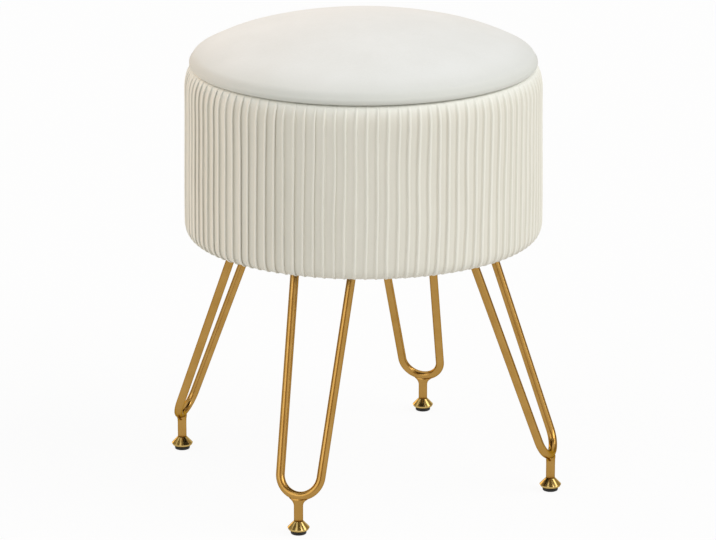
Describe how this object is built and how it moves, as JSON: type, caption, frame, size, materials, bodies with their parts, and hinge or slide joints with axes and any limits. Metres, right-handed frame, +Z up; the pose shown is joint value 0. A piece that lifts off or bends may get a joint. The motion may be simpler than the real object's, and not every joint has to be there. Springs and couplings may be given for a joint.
{
  "type": "storage stool",
  "caption": "Round storage stool: knife-pleated velvet drum on splayed hairpin legs with levelling feet, closed by a domed padded lid that lifts off.",
  "frame": {"origin": "on the floor under the middle of the drum", "axes": "+Z up along the drum's axis, one leg towards each of -Y (front), +X (right), +Y (back) and -X (left)"},
  "size_m": [0.4084, 0.4084, 0.461],
  "materials": {
    "velvet": "cream short-pile velvet",
    "foam": "open-cell foam and wadding",
    "board": "raw plywood and fibreboard",
    "lining": "beige non-woven cloth",
    "dust_cloth": "black non-woven cloth",
    "steel": "zinc-plated",
    "gold_metal": "satin gold plating on steel",
    "polished_gold": "polished gold",
    "pad_rubber": "matt black"
  },
  "bodies": {
    "frame": {"pleated_cover": "velvet", "hem_band": "velvet", "mouth_band": "velvet", "drum_wadding": "foam", "drum_shell": "board", "base_board": "board", "drum_lining": "lining", "floor_lining": "lining", "dust_cover": "dust_cloth", "base_staples": "steel", "rim_staples": "steel", "shell_nails": "steel", "t_nuts": "steel", "leg_screws": "steel", "leg_plate_front": "gold_metal", "leg_rod_front": "gold_metal", "leg_stub_front": "gold_metal", "leg_plate_right": "gold_metal", "leg_rod_right": "gold_metal", "leg_stub_right": "gold_metal", "leg_plate_back": "gold_metal", "leg_rod_back": "gold_metal", "leg_stub_back": "gold_metal", "leg_plate_left": "gold_metal", "leg_rod_left": "gold_metal", "leg_stub_left": "gold_metal"},
    "lid": {"seat_cover": "velvet", "seat_foam": "foam", "lid_board": "board", "locating_disc": "board", "disc_cover": "lining", "lid_staples": "steel", "lid_screws": "steel"},
    "foot_pad_front": {"foot_pad_front": "pad_rubber"},
    "foot_screw_front": {"foot_cap_front": "polished_gold", "foot_stud_front": "steel"},
    "foot_pad_right": {"foot_pad_right": "pad_rubber"},
    "foot_screw_right": {"foot_cap_right": "polished_gold", "foot_stud_right": "steel"},
    "foot_pad_back": {"foot_pad_back": "pad_rubber"},
    "foot_screw_back": {"foot_cap_back": "polished_gold", "foot_stud_back": "steel"},
    "foot_pad_left": {"foot_pad_left": "pad_rubber"},
    "foot_screw_left": {"foot_cap_left": "polished_gold", "foot_stud_left": "steel"}
  },
  "joints": [
    {"name": "lid_lift", "type": "slide", "parent": "frame", "child": "lid", "axis": [0, 0, 1], "range_m": [0, 0.25]},
    {"name": "foot_front_drop", "type": "slide", "parent": "frame", "child": "foot_pad_front", "axis": [0, 0, -1], "range_m": [0, 0.0048]},
    {"name": "foot_front_turn", "type": "hinge", "parent": "foot_pad_front", "child": "foot_screw_front", "pos_m": [0, -0.19367, 0.01], "axis": [0, 0, -1], "range_deg": [0, 2160]},
    {"name": "foot_right_drop", "type": "slide", "parent": "frame", "child": "foot_pad_right", "axis": [0, 0, -1], "range_m": [0, 0.0048]},
    {"name": "foot_right_turn", "type": "hinge", "parent": "foot_pad_right", "child": "foot_screw_right", "pos_m": [0.19367, 0, 0.01], "axis": [0, 0, -1], "range_deg": [0, 2160]},
    {"name": "foot_back_drop", "type": "slide", "parent": "frame", "child": "foot_pad_back", "axis": [0, 0, -1], "range_m": [0, 0.0048]},
    {"name": "foot_back_turn", "type": "hinge", "parent": "foot_pad_back", "child": "foot_screw_back", "pos_m": [0, 0.19367, 0.01], "axis": [0, 0, -1], "range_deg": [0, 2160]},
    {"name": "foot_left_drop", "type": "slide", "parent": "frame", "child": "foot_pad_left", "axis": [0, 0, -1], "range_m": [0, 0.0048]},
    {"name": "foot_left_turn", "type": "hinge", "parent": "foot_pad_left", "child": "foot_screw_left", "pos_m": [-0.19367, 0, 0.01], "axis": [0, 0, -1], "range_deg": [0, 2160]}
  ],
  "couplings": [
    {"joint": "foot_front_turn", "follows": "foot_front_drop", "rad_per_m": 7854},
    {"joint": "foot_right_turn", "follows": "foot_right_drop", "rad_per_m": 7854},
    {"joint": "foot_back_turn", "follows": "foot_back_drop", "rad_per_m": 7854},
    {"joint": "foot_left_turn", "follows": "foot_left_drop", "rad_per_m": 7854}
  ]
}
